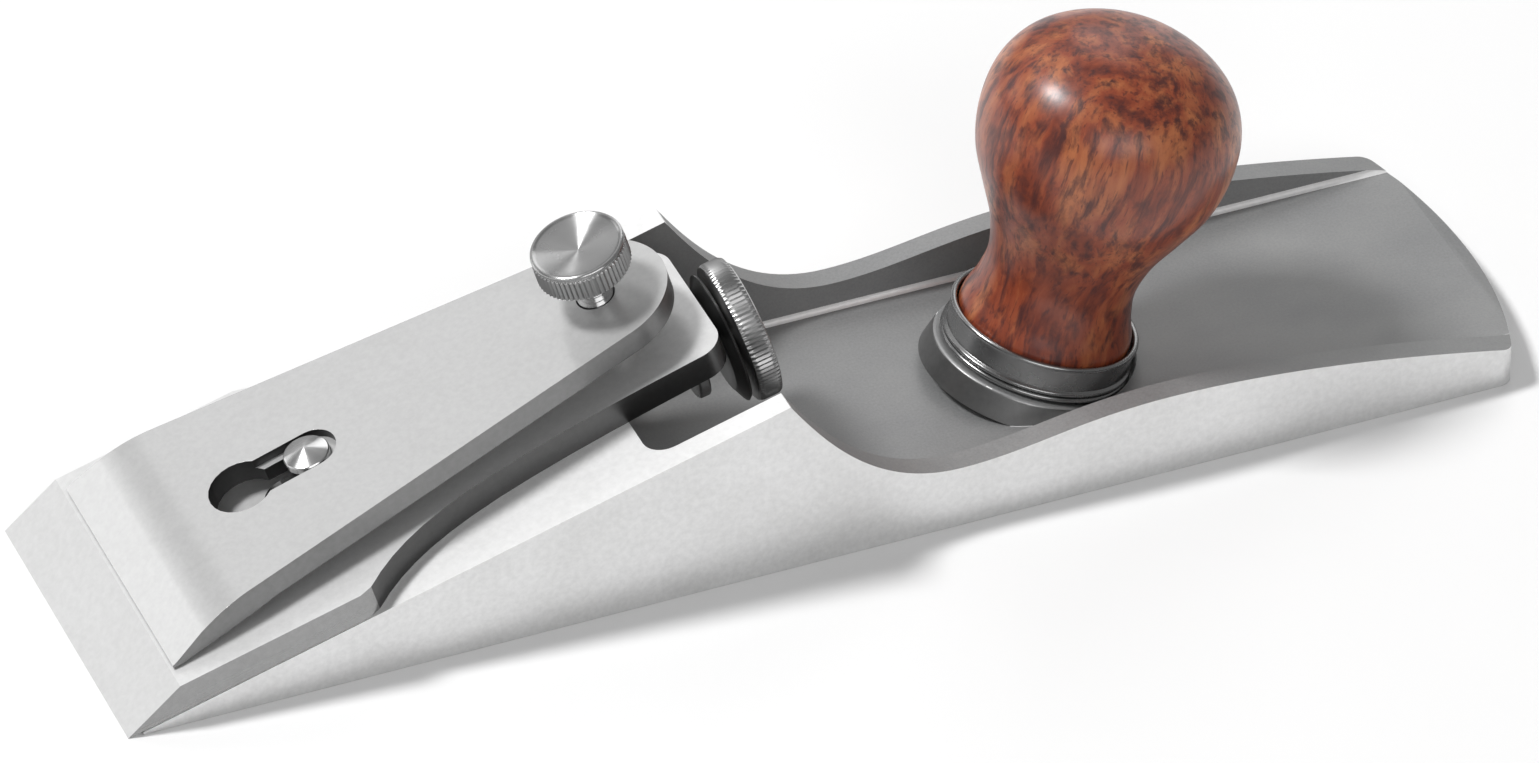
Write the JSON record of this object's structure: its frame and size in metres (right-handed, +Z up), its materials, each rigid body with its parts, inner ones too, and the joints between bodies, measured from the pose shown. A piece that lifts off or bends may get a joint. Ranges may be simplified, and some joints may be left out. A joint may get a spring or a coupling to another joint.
{
  "type": "hand plane",
  "caption": "Low-angle chisel plane: cutter running out to the front edge of an iron body, lever cap with thumbscrew, rear adjuster wheel, and a round wooden knob.",
  "frame": {"origin": "centre of the bounding box's underside, on the plane of the sole", "axes": "+X from the cutting edge towards the heel, +Y across the body, +Z up from the sole"},
  "size_m": [0.2444, 0.057, 0.067],
  "materials": {
    "ground_iron": "ground outside, dull cast inside the trough",
    "cutter_steel": "fine ground",
    "cap_steel": "satin ground",
    "turned_steel": "bright turned, knurled rims",
    "screw_steel": "machined thread",
    "ferrule_steel": "turned and polished",
    "rosewood": "polished, dark streaks along the grain",
    "brass": "turned"
  },
  "bodies": {
    "body": {"body_casting": "ground_iron", "lever_cap_screw": "turned_steel", "knob_ferrule": "ferrule_steel", "knob": "rosewood", "knob_stud": "screw_steel", "knob_insert": "brass"},
    "cutter": {"cutter": "cutter_steel"},
    "adjuster": {"adjuster_screw": "screw_steel", "adjuster_lock_ring": "turned_steel", "adjuster_wheel": "turned_steel"},
    "lever_cap": {"lever_cap": "cap_steel"},
    "thumbscrew": {"lever_cap_thumbscrew": "turned_steel"}
  },
  "joints": [
    {"name": "cutter_advance", "type": "slide", "parent": "body", "child": "cutter", "axis": [-0.9603, 0, -0.279], "range_m": [-0.003, 0.0015]},
    {"name": "adjuster_turn", "type": "hinge", "parent": "cutter", "child": "adjuster", "pos_m": [-0.0089, 0, 0.02655], "axis": [-0.9703, 0, -0.2419], "range_deg": [-1080, 540]},
    {"name": "lever_cap_slide", "type": "slide", "parent": "body", "child": "lever_cap", "axis": [0.9603, 0, 0.279], "range_m": [0, 0.0116]},
    {"name": "thumbscrew_turn", "type": "hinge", "parent": "lever_cap", "child": "thumbscrew", "pos_m": [-0.03375, 0, 0.04861], "axis": [-0.279, 0, 0.9603], "range_deg": [0, 720]}
  ],
  "couplings": [
    {"joint": "adjuster_turn", "follows": "cutter_advance", "rad_per_m": 6283.2}
  ]
}
